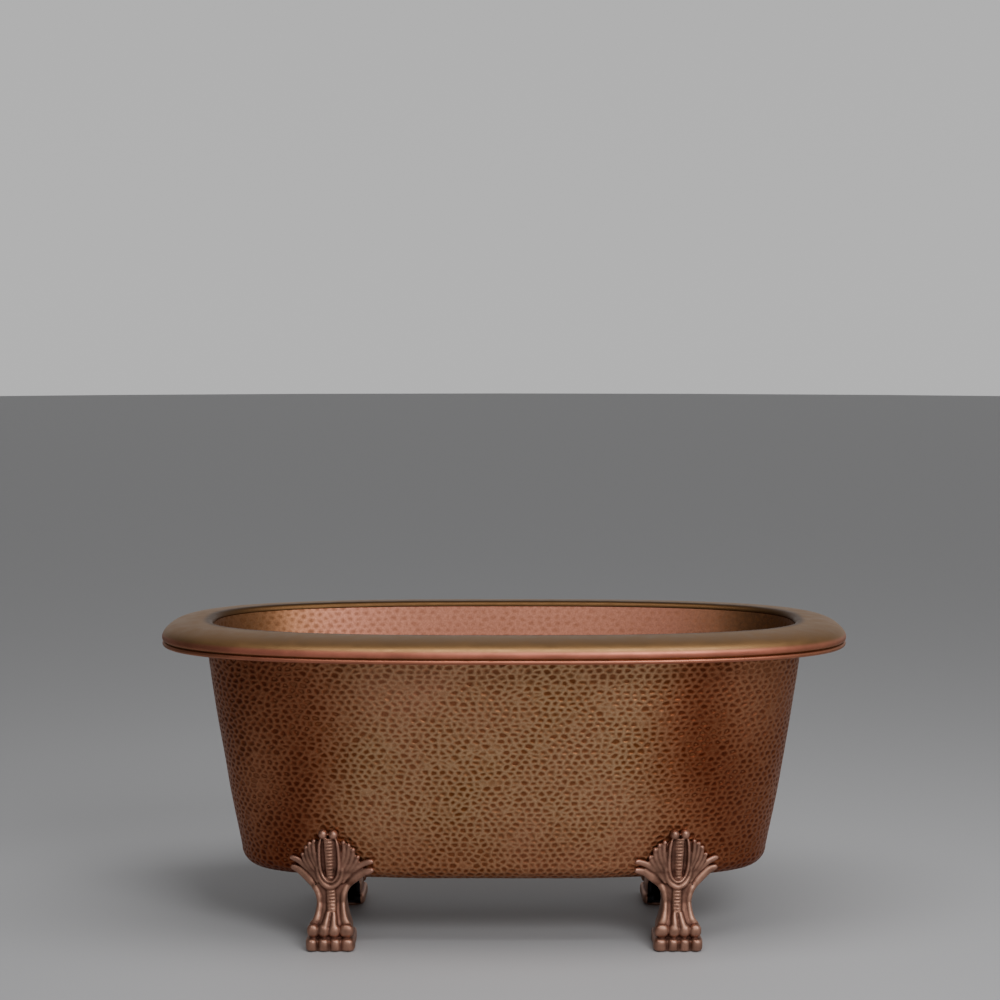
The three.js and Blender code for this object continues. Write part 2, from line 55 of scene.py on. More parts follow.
BASIN_LOW, BASIN_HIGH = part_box("basin")
LUG_PLATE_LOW, LUG_PLATE_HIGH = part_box("foot_plate_front_right")

HALF_LENGTH, HALF_WIDTH, RIM_TOP = RIM_HIGH
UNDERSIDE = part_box("base_pan")[0][2]
SHEET = 0.0018
MM = 0.001

# rim: width of its top, roll into the basin, exponent of its dome, round under the nose, height and
# half breadth of the band that is rubbed bright and carries a painted reflection, flange, bead wire,
# exponent of its plan
RIM_WIDTH = 0.098
ROLL_R = 0.012
DOME = 2.4
NOSE_R = 0.006
NOSE_Z = RIM_TOP - 0.032
NOSE_DEGREES = 64
NOSE_BAND = (NOSE_Z + 0.003, 0.0068)
NOSE_INSET = 0.012
FLANGE_Z = RIM_LOW[2]
BEAD_R = 0.0048
BEAD_INSET = 0.0055
BEAD_DROP = 0.0009
BEAD_ROWS = 20
RIM_WAVE = 0.00012
RIM_POWER = 2.85
RIM_COLUMNS = 900

# outer skin: half-length, half-width, height, exponent of its plan at the top and above the corner
BODY_POWER = 2.8
BODY_TOP = (WALL_HIGH[0], -WALL_FRONT_LOW[1], WALL_HIGH[2], BODY_POWER)
CORNER_R = 0.040
BODY_LOW = (0.592, 0.226, UNDERSIDE + CORNER_R, BODY_POWER)
BULGE = 0.004
SKIN_COLUMNS, SKIN_ROW = 1368, 0.00215

# underside: the hole for the waste, and the lattice of points
PAN_HOLE_R = 0.031
PAN_COLUMNS, PAN_ROW = 420, 0.0035

# basin: the same as for the outer skin, for its inner face
BASIN_TOP = (HALF_LENGTH - RIM_WIDTH - ROLL_R, HALF_WIDTH - RIM_WIDTH - ROLL_R, BASIN_HIGH[2], 2.65)
BASIN_CORNER_R = 0.070
FLOOR_RISE = 0.0055
BASIN_LOW_EDGE = (0.535, 0.175, BASIN_LOW[2] + FLOOR_RISE + BASIN_CORNER_R, 2.6)
DRAIN_R = 0.0255
DRAIN_Z = BASIN_LOW[2] + 0.002
BASIN_COLUMNS, BASIN_ROW = 800, 0.0042

# hammer marks: size along and up the wall, and depth
BODY_MARK, BODY_MARK_DEPTH = (0.0180, 0.0119), 0.0018
PAN_MARK, PAN_MARK_DEPTH = (0.024, 0.018), 0.0007
WALL_MARK, FLOOR_MARK, BASIN_MARK_DEPTH = (0.019, 0.014), (0.019, 0.016), 0.0003
MARK_JITTER = 0.36
MARK_WEIGHT = 0.05
MARK_SLOPE = (0.04, 0.86)

NO_TRIANGLES = np.zeros((0, 3), int)


# ------------------------------------------------------------------ meshes from arrays
def add_mesh(name, points, quads, triangles=NO_TRIANGLES, polygons=(), values=None, normals=None,
             material=None):
    """A smooth object from vertex rows, quad and triangle index rows, and extra polygons.
    values are named vertex attributes, normals are unit vectors for the shading."""
    faces = [quads, triangles, *(np.array([polygon]) for polygon in polygons)]
    sizes = np.concatenate([np.full(len(face), face.shape[1]) for face in faces])
    corners = np.concatenate([face.ravel() for face in faces]).astype(np.int32)
    mesh = bpy.data.meshes.new(name)
    mesh.vertices.add(len(points))
    mesh.vertices.foreach_set("co", np.asarray(points, np.float32).ravel())
    mesh.loops.add(len(corners))
    mesh.loops.foreach_set("vertex_index", corners)
    mesh.polygons.add(len(sizes))
    starts = np.concatenate([[0], np.cumsum(sizes)[:-1]]).astype(np.int32)
    mesh.polygons.foreach_set("loop_start", starts)
    mesh.update(calc_edges=True)
    mesh.polygons.foreach_set("use_smooth", np.ones(len(sizes), bool))
    for key, column in (values or {}).items():
        layer = mesh.attributes.new(key, "FLOAT", "POINT")
        layer.data.foreach_set("value", np.asarray(column, np.float32))
    if normals is not None:
        mesh.normals_split_custom_set_from_vertices(np.asarray(normals, np.float32))
    if material is not None:
        mesh.materials.append(material)
    piece = bpy.data.objects.new(name, mesh)
    bpy.context.scene.collection.objects.link(piece)
    return piece


def grid_quads(columns, rows, closed_columns=False, closed_rows=False, first=0):
    """Index rows of the quads of a grid stored column by column."""
    i = np.arange(columns if closed_columns else columns - 1)[:, None]
    j = np.arange(rows if closed_rows else rows - 1)[None, :]
    i2 = (i + 1) % columns
    j2 = (j + 1) % rows
    quads = np.stack([i * rows + j, i2 * rows + j, i2 * rows + j2, i * rows + j2], -1)
    return quads.reshape(-1, 4) + first


def turn_out(points, quads, triangles=NO_TRIANGLES):
    """The same faces, wound so that the closed shape's signed volume is positive."""
    faces = np.concatenate([quads[:, [0, 1, 2]], quads[:, [0, 2, 3]], triangles])
    a, b, c = (points[faces[:, k]] for k in range(3))
    if np.einsum("ij,ij->", a, np.cross(b, c)) >= 0:
        return quads, triangles
    return quads[:, ::-1], triangles[:, ::-1]


def full_turn(count):
    """Evenly spaced angles once round, in radians."""
    return np.arange(count) / count * 2 * math.pi


def unit(vectors):
    return vectors / np.maximum(np.linalg.norm(vectors, axis=-1, keepdims=True), 1e-12)


def length_along(path):
    """Length walked from the first point of a path to each of its points."""
    return np.concatenate([[0], np.cumsum(np.linalg.norm(np.diff(path, axis=0), axis=1))])


# ------------------------------------------------------------------ plan of the tub
def plan(station, angle):
    """Points on the superellipse |x/a|^n + |y/b|^n = 1 at the given angles, at one height."""
    a, b, z, n = station
    c, s = np.cos(angle), np.sin(angle)
    x = a * np.sign(c) * np.abs(c) ** (2 / n)
    y = b * np.sign(s) * np.abs(s) ** (2 / n)
    return np.stack([x, y, np.full_like(x, z)], -1)


def even_angles(station, columns, samples=40001):
    """Angles that divide the superellipse into steps of equal length, and its whole length."""
    fine = np.linspace(0, 2 * math.pi, samples)
    length = length_along(plan(station, fine))
    target = np.arange(columns) / columns * length[-1]
    return np.interp(target, length, fine), length[-1]


def mix(p, q, k):
    return tuple(p[i] + (q[i] - p[i]) * k for i in range(4))


def corner_arc(station, radius, steps):
    """Quarter round from a wall inwards and down to a flat bottom."""
    a, b, z, n = station
    angles = np.arange(1, steps + 1) / steps * math.pi / 2
    inset = radius * (1 - np.cos(angles))
    return [(a - d, b - d, z - h, n) for d, h in zip(inset, radius * np.sin(angles))]


def even_rows(stations, step):
    """Stations respaced so that they lie one step apart along the mean section, and their lengths."""
    table = np.array(stations)
    length = length_along(np.stack([(table[:, 0] + table[:, 1]) / 2, table[:, 2]], -1))
    rows = max(2, int(round(length[-1] / step)) + 1)
    target = np.linspace(0, length[-1], rows)
    return np.stack([np.interp(target, length, table[:, k]) for k in range(4)], -1), target


def shell_points(stations, angles):
    """Grid of points, angle by station."""
    return np.stack([plan(station, angles) for station in stations], 1)


def grid_normals(points):
    """Unit normals of a grid that closes round its columns, from central differences."""
    across = np.roll(points, -1, 0) - np.roll(points, 1, 0)
    return unit(np.cross(across, np.gradient(points, axis=1)))


def facing(normals, direction):
    """The same normals, each turned to the side that direction points to."""
    return normals * np.where((normals * direction).sum(-1, keepdims=True) < 0, -1, 1)


def back_of(points, outward, every):
    """The back of a sheet: every so many rows of its face, moved in by its thickness."""
    keep = np.unique(np.append(np.arange(0, points.shape[1], every), points.shape[1] - 1))
    return points[:, keep] - outward[:, keep] * SHEET


# ------------------------------------------------------------------ hammer marks
def ease(value, low, high):
    """Smooth step from 0 below low to 1 above high."""
    k = np.clip((value - low) / (high - low), 0, 1)
    return k * k * (3 - 2 * k)


def hammer_marks(around, along, girth, mark, seed):
    """Relief of overlapping hammer blows. Each blow owns the points nearest to its centre, on a
    jittered, staggered lattice. The relief is 1 on the ridges between blows and falls smoothly to 0 in
    their bowls, with how much nearer a point is to its own blow than to the next one. Returns the
    relief and a random number for each blow."""
    random = np.random.default_rng(seed)
    across, up = mark
    lead, spare = 2.5, 6
    columns = int(round(girth / across))
    rows = int(math.ceil(along.max() / up)) + spare
    jitter = random.uniform(-MARK_JITTER, MARK_JITTER, (columns, rows, 2))
    weight = random.uniform(-MARK_WEIGHT, MARK_WEIGHT, (columns, rows))
    tone = random.uniform(0, 1, (columns, rows))
    u = around / girth * columns
    v = along / up + lead
    iu, iv = np.floor(u).astype(int), np.floor(v).astype(int)
    first = np.full(u.shape, np.inf)
    second = np.full(u.shape, np.inf)
    owner = np.zeros(u.shape)
    neighbours = range(-2, 3)
    for dv in neighbours:
        row = np.clip(iv + dv, 0, rows - 1)
        shift = 0.5 * (row % 2)
        for du in neighbours:
            column = iu + du
            cell = (column % columns, row)
            x = column + 0.5 + shift + jitter[cell][..., 0] - u
            y = row + 0.5 + jitter[cell][..., 1] * 0.9 - v
            distance = np.hypot(x, y) + weight[cell]
            nearer = distance < first
            second = np.where(nearer, first, np.minimum(second, distance))
            owner = np.where(nearer, tone[cell], owner)
            first = np.where(nearer, distance, first)
    return 1 - ease(second - first, *MARK_SLOPE), owner


def wall_marks(points, along, girth, mark, seed):
    """Hammer marks on a grid of points that closes after girth, with its rows at the lengths along."""
    shape = points.shape[:2]
    around = np.broadcast_to((np.arange(shape[0]) / shape[0] * girth)[:, None], shape)
    return hammer_marks(around, np.broadcast_to(along[None, :], shape), girth, mark, seed)


def floor_marks(points, shift, mark, seed, width=3.0):
    """Hammer marks on a lattice laid flat over the floor."""
    return hammer_marks(points[..., 0] + 1.0, points[..., 1] + shift, width, mark, seed)


def bowl_depth(relief, tone, depth):
    """How far each point is beaten in; a blow's own random number makes it shallower or deeper."""
    return (1 - relief) * depth * (0.65 + 0.6 * tone)


def calm_edges(along, reach=0.006):
    """Share of the marks that is kept: none on the first and last row, all of it beyond reach."""
    return np.clip(np.minimum(along, along[-1] - along) / reach, 0, 1)


def slow_wave(points, seed, wavelength, waves=7):
    """Smooth noise from a few sine waves in random directions, between about -1 and 1."""
    random = np.random.default_rng(seed)
    x, y, z = np.moveaxis(points, -1, 0)
    total = np.zeros_like(x)
    for _ in range(waves):
        direction = random.normal(size=3)
        direction *= 2 * math.pi / (np.linalg.norm(direction) * wavelength * random.uniform(0.7, 1.5))
        total += np.sin(x * direction[0] + y * direction[1] + z * direction[2] + random.uniform(0, 6.3))
    return total / (waves / 2)


def panels(names, replaced, front, back, normals, values, material):
    """Cuts a closed ring of columns into closed sheets: a fine front, a coarse back of the same
    columns, edge strips above and below, and one polygon on each end."""
    count = len(names)
    columns, rows = front.shape[:2]
    back_rows = back.shape[1]
    for k, name in enumerate(names):
        pick = np.arange(k * columns // count, (k + 1) * columns // count + 1) % columns
        wide = len(pick)
        first = wide * rows
        top = np.arange(wide - 1) * rows
        back_top = first + np.arange(wide - 1) * back_rows
        low, back_low = top + rows - 1, back_top + back_rows - 1
        quads = np.concatenate([
            grid_quads(wide, rows),
            grid_quads(wide, back_rows, first=first)[:, ::-1],
            np.stack([top, back_top, back_top + back_rows, top + rows], -1),
            np.stack([low, low + rows, back_low + back_rows, back_low], -1),
        ])
        down, back_down = np.arange(rows), first + np.arange(back_rows)
        left = np.concatenate([down, back_down[::-1]])
        right = np.concatenate([down[::-1] + (wide - 1) * rows, back_down + (wide - 1) * back_rows])
        points = np.concatenate([front[pick].reshape(-1, 3), back[pick].reshape(-1, 3)])
        turned, _ = turn_out(points, quads)
        ends = [left, right] if turned is quads else [left[::-1], right[::-1]]
        shading = np.concatenate([normals[pick].reshape(-1, 3), np.zeros((wide * back_rows, 3))])
        columns_of = {
            key: np.concatenate([column[pick].ravel(), np.full(wide * back_rows, 0.5)])
            for key, column in values.items()
        }
        piece = add_mesh(name, points, turned, polygons=ends, values=columns_of, normals=shading,
                         material=material)
        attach(piece, "tub")
        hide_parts(replaced[k])


# ------------------------------------------------------------------ materials
def nodes_of(name):
    material = bpy.data.materials.new(name)
    material.use_nodes = True
    tree = material.node_tree
    return material, tree, tree.nodes["Principled BSDF"]


def node(tree, kind, **settings):
    made = tree.nodes.new(kind)
    for key, value in settings.items():
        setattr(made, key, value)
    return made


def noise(tree, scale, detail=4.0, roughness=0.55, stretch=(1, 1, 1)):
    """Noise on the piece's own coordinates, in cycles for each metre."""
    place = node(tree, "ShaderNodeTexCoord")
    mapping = node(tree, "ShaderNodeMapping")
    mapping.inputs["Scale"].default_value = stretch
    grain = node(tree, "ShaderNodeTexNoise")
    grain.inputs["Scale"].default_value = scale
    grain.inputs["Detail"].default_value = detail
    grain.inputs["Roughness"].default_value = roughness
    tree.links.new(place.outputs["Object"], mapping.inputs["Vector"])
    tree.links.new(mapping.outputs["Vector"], grain.inputs["Vector"])
    return grain.outputs["Fac"]


def ramp(tree, value, stops):
    made = node(tree, "ShaderNodeValToRGB")
    elements = made.color_ramp.elements
    while len(elements) < len(stops):
        elements.new(0.5)
    for element, (position, colour) in zip(elements, stops):
        element.position = position
        element.color = (*colour, 1) if len(colour) == 3 else colour
    tree.links.new(value, made.inputs["Fac"])
    return made.outputs["Color"]


def grey_ramp(tree, value, stops):
    return ramp(tree, value, [(position, (level,) * 3) for position, level in stops])


def blend_colours(tree, factor, first, second, mode="MIX"):
    made = node(tree, "ShaderNodeMix", data_type="RGBA", blend_type=mode)
    inputs = made.inputs["Factor"], made.inputs[6], made.inputs[7]
    for socket, source in zip(inputs, (factor, first, second)):
        if hasattr(source, "links"):
            tree.links.new(source, socket)
        else:
            socket.default_value = source if isinstance(source, float) else (*source, 1)
    return made.outputs[2]


def multiplied(tree, first, second):
    return blend_colours(tree, 1.0, first, second, "MULTIPLY")


def attribute(tree, name):
    return node(tree, "ShaderNodeAttribute", attribute_name=name).outputs["Fac"]


def drifting(tree, low, high, *grain):
    """Grey that drifts between two levels with a noise."""
    return grey_ramp(tree, noise(tree, *grain), [(0.3, low), (0.7, high)])


def finish(tree, shader, colour, rough, height, strength, distance, metallic=1.0):
    """Connects a finish's colour and roughness, and a bump of the given strength and distance."""
    tree.links.new(colour, shader.inputs["Base Color"])
    tree.links.new(rough, shader.inputs["Roughness"])
    shader.inputs["Metallic"].default_value = metallic
    bump = node(tree, "ShaderNodeBump")
    bump.inputs["Strength"].default_value = strength
    bump.inputs["Distance"].default_value = distance
    tree.links.new(height, bump.inputs["Height"])
    tree.links.new(bump.outputs["Normal"], shader.inputs["Normal"])


def patinated_copper(name, bright, deep, rubbed, roughness, cloud=(0.35, 0.65)):
    """Copper whose brown patina stays in the hollows and is rubbed off the ridges. bright and deep are the
    colours of bowl, middle and ridge where the attribute for golden film and painted shade is 1 and 0: a
    ramp on the relief attribute, softened by each mark's own tone, darkened as painted shade where that
    attribute is low, under slow clouds of the rubbed colour."""
    material, tree, shader = nodes_of(name)
    relief = attribute(tree, "relief")
    gilt_and_shade = attribute(tree, "gilt_and_shade")
    softer = grey_ramp(tree, attribute(tree, "tone"), [(0.0, 0.0), (0.55, 0.0), (1.0, 0.55)])
    films = []
    for bowl, middle, ridge in (deep, bright):
        film = ramp(tree, relief, [(0.0, bowl), (0.3, bowl), (0.62, middle), (1.0, ridge)])
        films.append(blend_colours(tree, softer, film, middle))
    colour = blend_colours(tree, gilt_and_shade, *films)
    # painted shade: the colour is darkened where the golden film is thin, round the ends and low down
    colour = multiplied(tree, colour, grey_ramp(tree, gilt_and_shade, [(0.0, 0.6), (0.35, 1.0)]))
    clouds = grey_ramp(tree, noise(tree, 3.2, 3.0), [(cloud[0], 0.0), (cloud[1], 1.0)])
    thinner = blend_colours(tree, 0.45, colour, rubbed)
    colour = blend_colours(tree, multiplied(tree, clouds, gilt_and_shade), colour, thinner)
    colour = multiplied(tree, colour, drifting(tree, 0.78, 1.12, 260.0, 5.0))
    rough = grey_ramp(tree, relief, [(0.0, roughness + 0.14), (1.0, roughness - 0.04)])
    finish(tree, shader, colour, rough, noise(tree, 420.0, 6.0, 0.6), 0.12, 0.0006)
    return material


def rolled_copper(name):
    """Smooth rim: brown patina on the broad top, painted shade on the roll into the basin, and pink along
    the nose and the bead that is partly rubbed copper and partly a painted reflection."""
    material, tree, shader = nodes_of(name)
    brown = ramp(tree, noise(tree, 9.0, 5.0, 0.6, (0.35, 0.35, 1)), [
        (0.3, (0.235, 0.128, 0.054)), (0.7, (0.28, 0.155, 0.068))])
    # painted shade on the roll into the basin
    brown = blend_colours(tree, attribute(tree, "roll"), brown, (0.095, 0.048, 0.02))
    pink = multiplied(tree, (0.56, 0.19, 0.125), drifting(tree, 0.75, 1.1, 14.0, 4.0))
    # pink along the nose and the bead: rubbed copper and a painted reflection
    colour = blend_colours(tree, attribute(tree, "wear_and_sheen"), brown, pink)
    rough = drifting(tree, 0.42, 0.52, 30.0, 5.0)
    finish(tree, shader, colour, rough, noise(tree, 500.0, 5.0, 0.6), 0.05, 0.0004)
    return material


def cast_copper(name):
    """Cast feet with painted shade: light where the relief attribute is high and dark in the hollows and
    creases, and black at the back.
    """
    material, tree, shader = nodes_of(name)
    relief = attribute(tree, "relief")
    # painted shade from the relief: dark in the hollows and creases, light on the proud parts
    colour = ramp(tree, relief, [
        (0.0, (0.10, 0.040, 0.030)), (0.36, (0.24, 0.118, 0.085)),
        (0.58, (0.37, 0.20, 0.14)), (1.0, (0.56, 0.30, 0.22)),
    ])
    stain = grey_ramp(tree, noise(tree, 38.0, 5.0), [(0.32, 0.7), (0.68, 1.12)])
    colour = multiplied(tree, colour, stain)
    colour = blend_colours(tree, attribute(tree, "back"), colour, (0.016, 0.016, 0.018))
    rough = grey_ramp(tree, relief, [(0.2, 0.6), (0.9, 0.45)])
    finish(tree, shader, colour, rough, noise(tree, 700.0, 6.0, 0.65), 0.2, 0.0006)
    return material


def plain_finish(name, colour, roughness, metallic, grain, spread=0.12, grain_bump=0.1):
    """A finish with a slight drift of colour and roughness and a fine grain."""
    material, tree, shader = nodes_of(name)
    tinted = multiplied(tree, colour, drifting(tree, 1 - spread, 1 + spread, grain, 5.0))
    rough = drifting(tree, roughness - 0.06, roughness + 0.08, grain * 2.3, 4.0)
    finish(tree, shader, tinted, rough, noise(tree, grain * 9, 5.0), grain_bump, 0.0004, metallic)
    return material


OUTER_COPPER = patinated_copper(
    "hammered_copper_outside",
    ((0.19, 0.062, 0.018), (0.35, 0.172, 0.076), (0.50, 0.305, 0.165)),
    ((0.11, 0.013, 0.004), (0.20, 0.030, 0.009), (0.29, 0.068, 0.024)),
    (0.52, 0.23, 0.14), 0.43)
INNER_COPPER = patinated_copper(
    "hammered_copper_inside",
    ((0.36, 0.150, 0.092), (0.40, 0.168, 0.108), (0.42, 0.175, 0.115)),
    ((0.26, 0.118, 0.050), (0.31, 0.145, 0.066), (0.33, 0.158, 0.075)),
    (0.43, 0.18, 0.12), 0.5)
RIM_COPPER = rolled_copper("rolled_rim_copper")
FOOT_COPPER = cast_copper("cast_foot_copper")
FITTING_COPPER = plain_finish("fitting_copper", (0.34, 0.17, 0.11), 0.3, 1.0, 60.0)
PLAIN_BRASS = plain_finish("plain_brass", (0.52, 0.35, 0.16), 0.35, 1.0, 50.0)
BLACK_IRON = plain_finish("black_iron", (0.02, 0.02, 0.022), 0.55, 0.0, 80.0, 0.3, 0.25)
ZINC = plain_finish("zinc_plate", (0.42, 0.42, 0.44), 0.4, 1.0, 90.0, 0.1)
RUBBER = plain_finish("seal_rubber", (0.018, 0.018, 0.018), 0.75, 0.0, 200.0, 0.2)
JACKET = plain_finish("cable_jacket", (0.02, 0.02, 0.022), 0.5, 0.0, 300.0, 0.15)


# ------------------------------------------------------------------ outer skin
def body_stations():
    side = []
    for k in np.linspace(0, 1, 80):
        a, b, z, n = mix(BODY_TOP, BODY_LOW, k)
        swell = BULGE * math.sin(k * math.pi)
        side.append((a + swell, b + swell, z, n))
    return side + corner_arc(BODY_LOW, CORNER_R, 24)


def film_and_shade_of(points):
    """Share of the golden film on the outer skin, which also paints shade: whole over the flat of the long
    sides, thin where they turn and round the ends (patina, and painted shade for their darker reflections),
    and thinner towards the bottom as painted shade; it drifts slowly."""
    x, _, z = np.moveaxis(points, -1, 0)
    reach = np.abs(x) + 0.05 * slow_wave(points, 41, 0.45)
    share = 1 - 0.80 * ease(reach, 0.26, 0.50) + 0.16 * ease(reach, 0.50, 0.60)
    # thinner towards the bottom: painted shade low on the tub
    return np.clip(share * (0.5 + 0.5 * ease(z, 0.12, 0.34)) + 0.05 * slow_wave(points, 42, 0.25), 0, 1)


def build_outer_skin():
    stations, along = even_rows(body_stations(), SKIN_ROW)
    angles, girth = even_angles(mix(BODY_TOP, BODY_LOW, 0.4), SKIN_COLUMNS)
    points = shell_points(stations, angles)
    outward = facing(grid_normals(points), points * [1, 1, 0])
    relief, tone = wall_marks(points, along, girth, BODY_MARK, 11)
    dents = slow_wave(points, 12, 0.16) * BODY_MARK_DEPTH * 0.35
    sink = (bowl_depth(relief, tone, BODY_MARK_DEPTH) - dents) * calm_edges(along)
    face = points - outward * sink[..., None]
    names = [f"outer_skin_rear_{place}" for place in ("right", "middle", "left")]
    names += [f"outer_skin_front_{place}" for place in ("left", "middle", "right")]
    walls = ["outer_wall_rear"] * 3 + ["outer_wall_front"] * 3
    values = {"relief": relief, "tone": tone, "gilt_and_shade": film_and_shade_of(points)}
    shading = facing(grid_normals(face), outward)
    panels(names, walls, face, back_of(points, outward, 16), shading, values, OUTER_COPPER)


def build_pan():
    """Underside: a flat hammered sheet between the corner's end and the hole for the waste."""
    a, b, _, n = body_stations()[-1]
    edge = (a - 0.001, b - 0.001, UNDERSIDE, n)
    hole = (PAN_HOLE_R, PAN_HOLE_R, UNDERSIDE, 2.0)
    stations, along = even_rows([edge, (a * 0.45, b * 0.6, UNDERSIDE, 2.4), hole], PAN_ROW)
    angles, _ = even_angles(edge, PAN_COLUMNS)
    points = shell_points(stations, angles)
    relief, tone = floor_marks(points, 0.3, PAN_MARK, 5)
    face = points.copy()
    face[..., 2] += (1 - relief) * PAN_MARK_DEPTH * calm_edges(along, 0.01)
    down = np.array([0, 0, -1])
    values = {"relief": relief, "tone": tone, "gilt_and_shade": np.full(relief.shape, 0.3)}
    back = np.concatenate([points[:, ::12], points[:, -1:]], 1) - down * SHEET
    shading = facing(grid_normals(face), down)
    panels(["underside_pan"], ["base_pan"], face, back, shading, values, OUTER_COPPER)


def build_basin():
    wall = [mix(BASIN_TOP, BASIN_LOW_EDGE, k) for k in np.linspace(0, 1, 60)]
    corner = corner_arc(BASIN_LOW_EDGE, BASIN_CORNER_R, 30)
    drain = (DRAIN_R, DRAIN_R, DRAIN_Z, 2)
    floor = []
    for k in np.linspace(0, 1, 60)[1:]:
        a, b, _, n = mix(corner[-1], drain, k)
        floor.append((a, b, mix(corner[-1], drain, ease(k, 0, 1))[2], n))
    stations, along = even_rows(wall + corner + floor, BASIN_ROW)
    angles, girth = even_angles(mix(BASIN_TOP, BASIN_LOW_EDGE, 0.3), BASIN_COLUMNS)
    points = shell_points(stations, angles)
    relief, tone = basin_marks(points, along, girth)
    inward = facing(grid_normals(points), [0, 0, 0.6] - points)
    sink = bowl_depth(relief, tone, BASIN_MARK_DEPTH) * calm_edges(along)
    face = points - inward * sink[..., None]
    softened = unit(facing(grid_normals(face), inward) + inward * 0.8)
    names = [f"basin_{place}" for place in ("rear_right", "rear_left", "front_left", "front_right")]
    # golden film thinning towards the ends of the basin; the finish darkens these ends as painted shade
    values = {"relief": relief, "tone": tone, "gilt_and_shade": 1 - ease(np.abs(points[..., 0]), 0.36, 0.58)}
    panels(names, ["basin"] * 4, face, back_of(points, inward, 4), softened, values, INNER_COPPER)


def basin_marks(points, along, girth):
    """Hammer marks round the wall, and others laid flat over the floor, blended at the corner."""
    wall = wall_marks(points, along, girth, WALL_MARK, 21)
    floor = floor_marks(points, 0.4, FLOOR_MARK, 22)
    share = np.clip((points[..., 2] - BASIN_LOW[2] - 0.012) / 0.010, 0, 1)
    return [on_wall * share + on_floor * (1 - share) for on_wall, on_floor in zip(wall, floor)]


# ------------------------------------------------------------------ rolled rim
def rim_profile():
    """Inset and height of the rim's outer face: a quarter roll out of the basin, a superelliptic dome
    from the crest out to the nose, the round under the nose, a cove, and the flange that runs back
    to the outer skin."""
    roll = np.linspace(0, math.pi / 2, 13)
    dome = np.linspace(0, math.pi / 2, 46)[2:]
    nose = np.radians(np.linspace(0, NOSE_DEGREES, 10))[1:]
    cove = np.linspace(0, 1, 6)[1:]
    cove_inset = NOSE_R * (1 - math.cos(math.radians(NOSE_DEGREES)))
    rise = np.maximum(np.cos(dome), 0) ** (2 / DOME)
    rows = (
        (RIM_WIDTH + ROLL_R * np.cos(roll), RIM_TOP + ROLL_R * (np.sin(roll) - 1)),
        (RIM_WIDTH * (1 - np.sin(dome) ** (2 / DOME)), NOSE_Z + (RIM_TOP - NOSE_Z) * rise),
        (NOSE_R * (1 - np.cos(nose)), NOSE_Z - NOSE_R * np.sin(nose)),
        (cove_inset + 0.0022 * cove, NOSE_Z - 0.0056 - 0.0026 * cove),
        ((0.0102, 0.0125, 0.015), (NOSE_Z - 0.0083, FLANGE_Z + 0.0012, FLANGE_Z)),
        ((HALF_LENGTH - BODY_TOP[0] - 0.006,), (FLANGE_Z,)),
    )
    return np.concatenate([np.stack(row, -1) for row in rows])


def build_rim():
    profile = rim_profile()
    tangent = unit(np.gradient(profile, axis=0))
    inward = np.stack([-tangent[:, 1], tangent[:, 0]], -1)
    on_dome = 20
    inside = profile - inward * np.sign(inward[on_dome, 1]) * SHEET
    loop = np.concatenate([profile, inside[::-3], inside[:1]])
    inset, height = loop.T
    angles, _ = even_angles((HALF_LENGTH - 0.05, HALF_WIDTH - 0.05, 0, 2.75), RIM_COLUMNS)
    exponent = RIM_POWER - 0.2 * inset / (RIM_WIDTH + ROLL_R)
    points = shell_points(zip(HALF_LENGTH - inset, HALF_WIDTH - inset, height, exponent), angles)
    wave = slow_wave(points, 31, 0.09) * RIM_WAVE
    first, below_nose = 2, len(profile) - 8
    wave[:, :first] = 0
    wave[:, below_nose:] = 0
    points[..., 2] = np.minimum(points[..., 2] + wave, RIM_TOP)
    # band along the nose: rubbed copper and a painted reflection, fading towards the ends
    nose = np.exp(-((height - NOSE_BAND[0]) / NOSE_BAND[1]) ** 4) * (inset < NOSE_INSET)
    faded = 1 - 0.5 * ease(np.abs(points[:, 0, 0]), 0.40, 0.70)
    # roll: where the rim turns into the basin, which the finish paints darker as shade
    roll = np.broadcast_to(ease(inset, RIM_WIDTH - 0.014, RIM_WIDTH), points.shape[:2]).ravel()
    values = {"wear_and_sheen": (faded[:, None] * nose).ravel(), "roll": roll}
    points = points.reshape(-1, 3)
    quads, _ = turn_out(points, grid_quads(RIM_COLUMNS, len(loop), True, True))
    rim = add_mesh("rolled_rim", points, quads, values=values, material=RIM_COPPER)
    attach(rim, "tub")
    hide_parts("rim_roll")

    turn = full_turn(BEAD_ROWS)
    inset = BEAD_INSET - BEAD_R * np.cos(turn)
    height = FLANGE_Z - BEAD_DROP + BEAD_R * np.sin(turn)
    stations = [(HALF_LENGTH - d, HALF_WIDTH - d, z, RIM_POWER) for d, z in zip(inset, height)]
    ring = shell_points(stations, angles[::2]).reshape(-1, 3)
    quads, _ = turn_out(ring, grid_quads(RIM_COLUMNS // 2, BEAD_ROWS, True, True))
    # the bead carries the same rubbed copper and painted reflection, a little weaker
    wear_and_sheen = np.repeat(0.75 * faded[::2], BEAD_ROWS)
    bead = add_mesh("rim_bead_wire", ring, quads, values={"wear_and_sheen": wear_and_sheen}, material=RIM_COPPER)
    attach(bead, "tub")
    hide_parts("rim_bead")


build_outer_skin()
build_pan()
build_basin()
build_rim()


# ------------------------------------------------------------------ claw feet
# The feet's tables are in millimetres: x outwards along the tub from the foot's own middle, height,
# and depth, which is the distance from the tub's centre line.
FOOT_X = (LUG_PLATE_LOW[0] + LUG_PLATE_HIGH[0]) / 2 / MM
FOOT_LEAN = 0.026
LEAF_SWEEP = 4.0 / 88 ** 2
LEG_WALL = 9.0
LEG_POWER = 3.2
CREST_FOOT = 168
VOXEL = 0.00166
RELIEF_REACH = 0.0022

